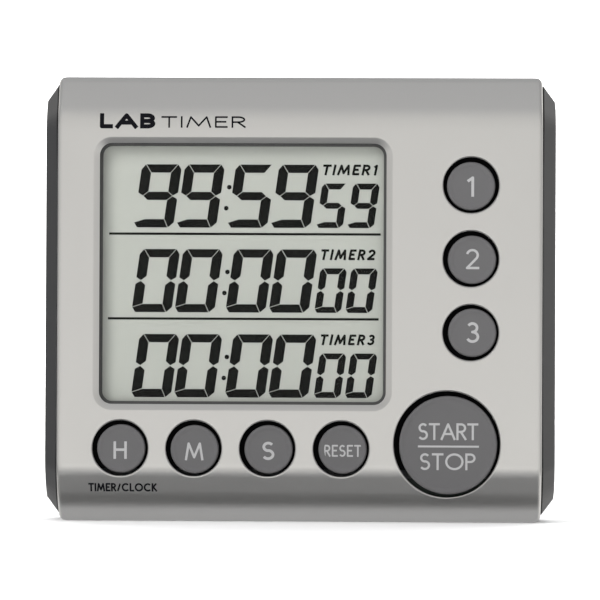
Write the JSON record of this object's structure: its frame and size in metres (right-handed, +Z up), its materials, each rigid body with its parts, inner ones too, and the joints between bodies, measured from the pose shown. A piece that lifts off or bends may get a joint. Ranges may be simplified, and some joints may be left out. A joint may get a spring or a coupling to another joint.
{
  "type": "lab timer",
  "caption": "Desk lab timer with a large segment display, round press keys on a silver front, dark side cheeks, a fold-out stand and a battery cover at the back.",
  "frame": {"origin": "middle of the footprint, on the plane the timer stands on", "axes": "+X to the right as the user faces the display, +Y from the display to the back, +Z up"},
  "size_m": [0.1194, 0.026, 0.1037],
  "materials": {
    "silver_housing": "satin silver paint on moulded plastic",
    "charcoal_housing": "fine matte texture",
    "key_plastic": "matte with a faint sheen",
    "black_plastic": "matte",
    "clear_lens": "polished clear plastic",
    "lcd_glass": "thin polished glass",
    "polariser_film": "matte anti-glare film",
    "reflector_film": "pale pearl film",
    "white_plastic": "moulded",
    "silicone": "matte silicone",
    "zebra_rubber": "layered conductive rubber",
    "board_green": "solder mask",
    "epoxy_black": "potting epoxy",
    "sheet_steel": "nickel plated",
    "screw_steel": "zinc plated",
    "disc_brass": "lapped",
    "ceramic_white": "silvered ceramic",
    "battery_sleeve": "printed sleeve over a steel can",
    "magnet_nickel": "nickel plated",
    "lead_red": "PVC insulation",
    "lead_black": "PVC insulation"
  },
  "bodies": {
    "housing": {"front_panel": "silver_housing", "rear_case": "charcoal_housing", "window_tape": "black_plastic", "display_window": "clear_lens", "lcd_polariser": "polariser_film", "lcd_front_glass": "lcd_glass", "lcd_rear_glass": "lcd_glass", "lcd_reflector": "reflector_film", "lcd_holder": "white_plastic", "zebra_strip_upper": "zebra_rubber", "zebra_strip_lower": "zebra_rubber", "circuit_board": "board_green", "keypad_mat": "silicone", "switch_body": "sheet_steel", "cob_chip": "epoxy_black", "crystal": "sheet_steel", "capacitor": "epoxy_black", "buzzer_plate": "disc_brass", "buzzer_ceramic": "ceramic_white", "battery_upper": "battery_sleeve", "battery_lower": "battery_sleeve", "contact_bridge": "sheet_steel", "contact_positive": "sheet_steel", "contact_negative": "sheet_steel", "bridge_spring": "sheet_steel", "negative_spring": "sheet_steel", "magnet_left": "magnet_nickel", "magnet_right": "magnet_nickel", "case_screw_1": "screw_steel", "case_screw_2": "screw_steel", "case_screw_3": "screw_steel", "case_screw_4": "screw_steel", "board_screw_1": "screw_steel", "board_screw_2": "screw_steel", "board_screw_3": "screw_steel", "board_screw_4": "screw_steel", "battery_lead_red": "lead_red", "battery_lead_black": "lead_black", "buzzer_lead_red": "lead_red", "buzzer_lead_black": "lead_black"},
    "hour_button": {"hour_button": "key_plastic"},
    "minute_button": {"minute_button": "key_plastic"},
    "second_button": {"second_button": "key_plastic"},
    "reset_button": {"reset_button": "key_plastic"},
    "timer1_button": {"timer1_button": "key_plastic"},
    "timer2_button": {"timer2_button": "key_plastic"},
    "timer3_button": {"timer3_button": "key_plastic"},
    "start_stop_button": {"start_stop_button": "key_plastic"},
    "mode_switch": {"mode_slider": "key_plastic", "switch_lever": "black_plastic"},
    "stand": {"stand": "charcoal_housing"},
    "battery_cover": {"battery_cover": "charcoal_housing"}
  },
  "joints": [
    {"name": "hour_press", "type": "slide", "parent": "housing", "child": "hour_button", "axis": [0, 1, 0], "range_m": [0, 0.001], "stiffness_N_per_m": 100},
    {"name": "minute_press", "type": "slide", "parent": "housing", "child": "minute_button", "axis": [0, 1, 0], "range_m": [0, 0.001], "stiffness_N_per_m": 100},
    {"name": "second_press", "type": "slide", "parent": "housing", "child": "second_button", "axis": [0, 1, 0], "range_m": [0, 0.001], "stiffness_N_per_m": 100},
    {"name": "reset_press", "type": "slide", "parent": "housing", "child": "reset_button", "axis": [0, 1, 0], "range_m": [0, 0.001], "stiffness_N_per_m": 100},
    {"name": "timer1_press", "type": "slide", "parent": "housing", "child": "timer1_button", "axis": [0, 1, 0], "range_m": [0, 0.001], "stiffness_N_per_m": 100},
    {"name": "timer2_press", "type": "slide", "parent": "housing", "child": "timer2_button", "axis": [0, 1, 0], "range_m": [0, 0.001], "stiffness_N_per_m": 100},
    {"name": "timer3_press", "type": "slide", "parent": "housing", "child": "timer3_button", "axis": [0, 1, 0], "range_m": [0, 0.001], "stiffness_N_per_m": 100},
    {"name": "start_stop_press", "type": "slide", "parent": "housing", "child": "start_stop_button", "axis": [0, 1, 0], "range_m": [0, 0.001], "stiffness_N_per_m": 100},
    {"name": "mode_slide", "type": "slide", "parent": "housing", "child": "mode_switch", "axis": [1, 0, 0], "range_m": [0, 0.0024]},
    {"name": "stand_fold", "type": "hinge", "parent": "housing", "child": "stand", "pos_m": [0, 0.0113, 0.053], "axis": [1, 0, 0], "range_deg": [0, 45]},
    {"name": "battery_cover_tip", "type": "hinge", "parent": "housing", "child": "battery_cover", "pos_m": [0, 0.013, 0.0591], "axis": [-1, 0, 0], "range_deg": [0, 60]}
  ]
}
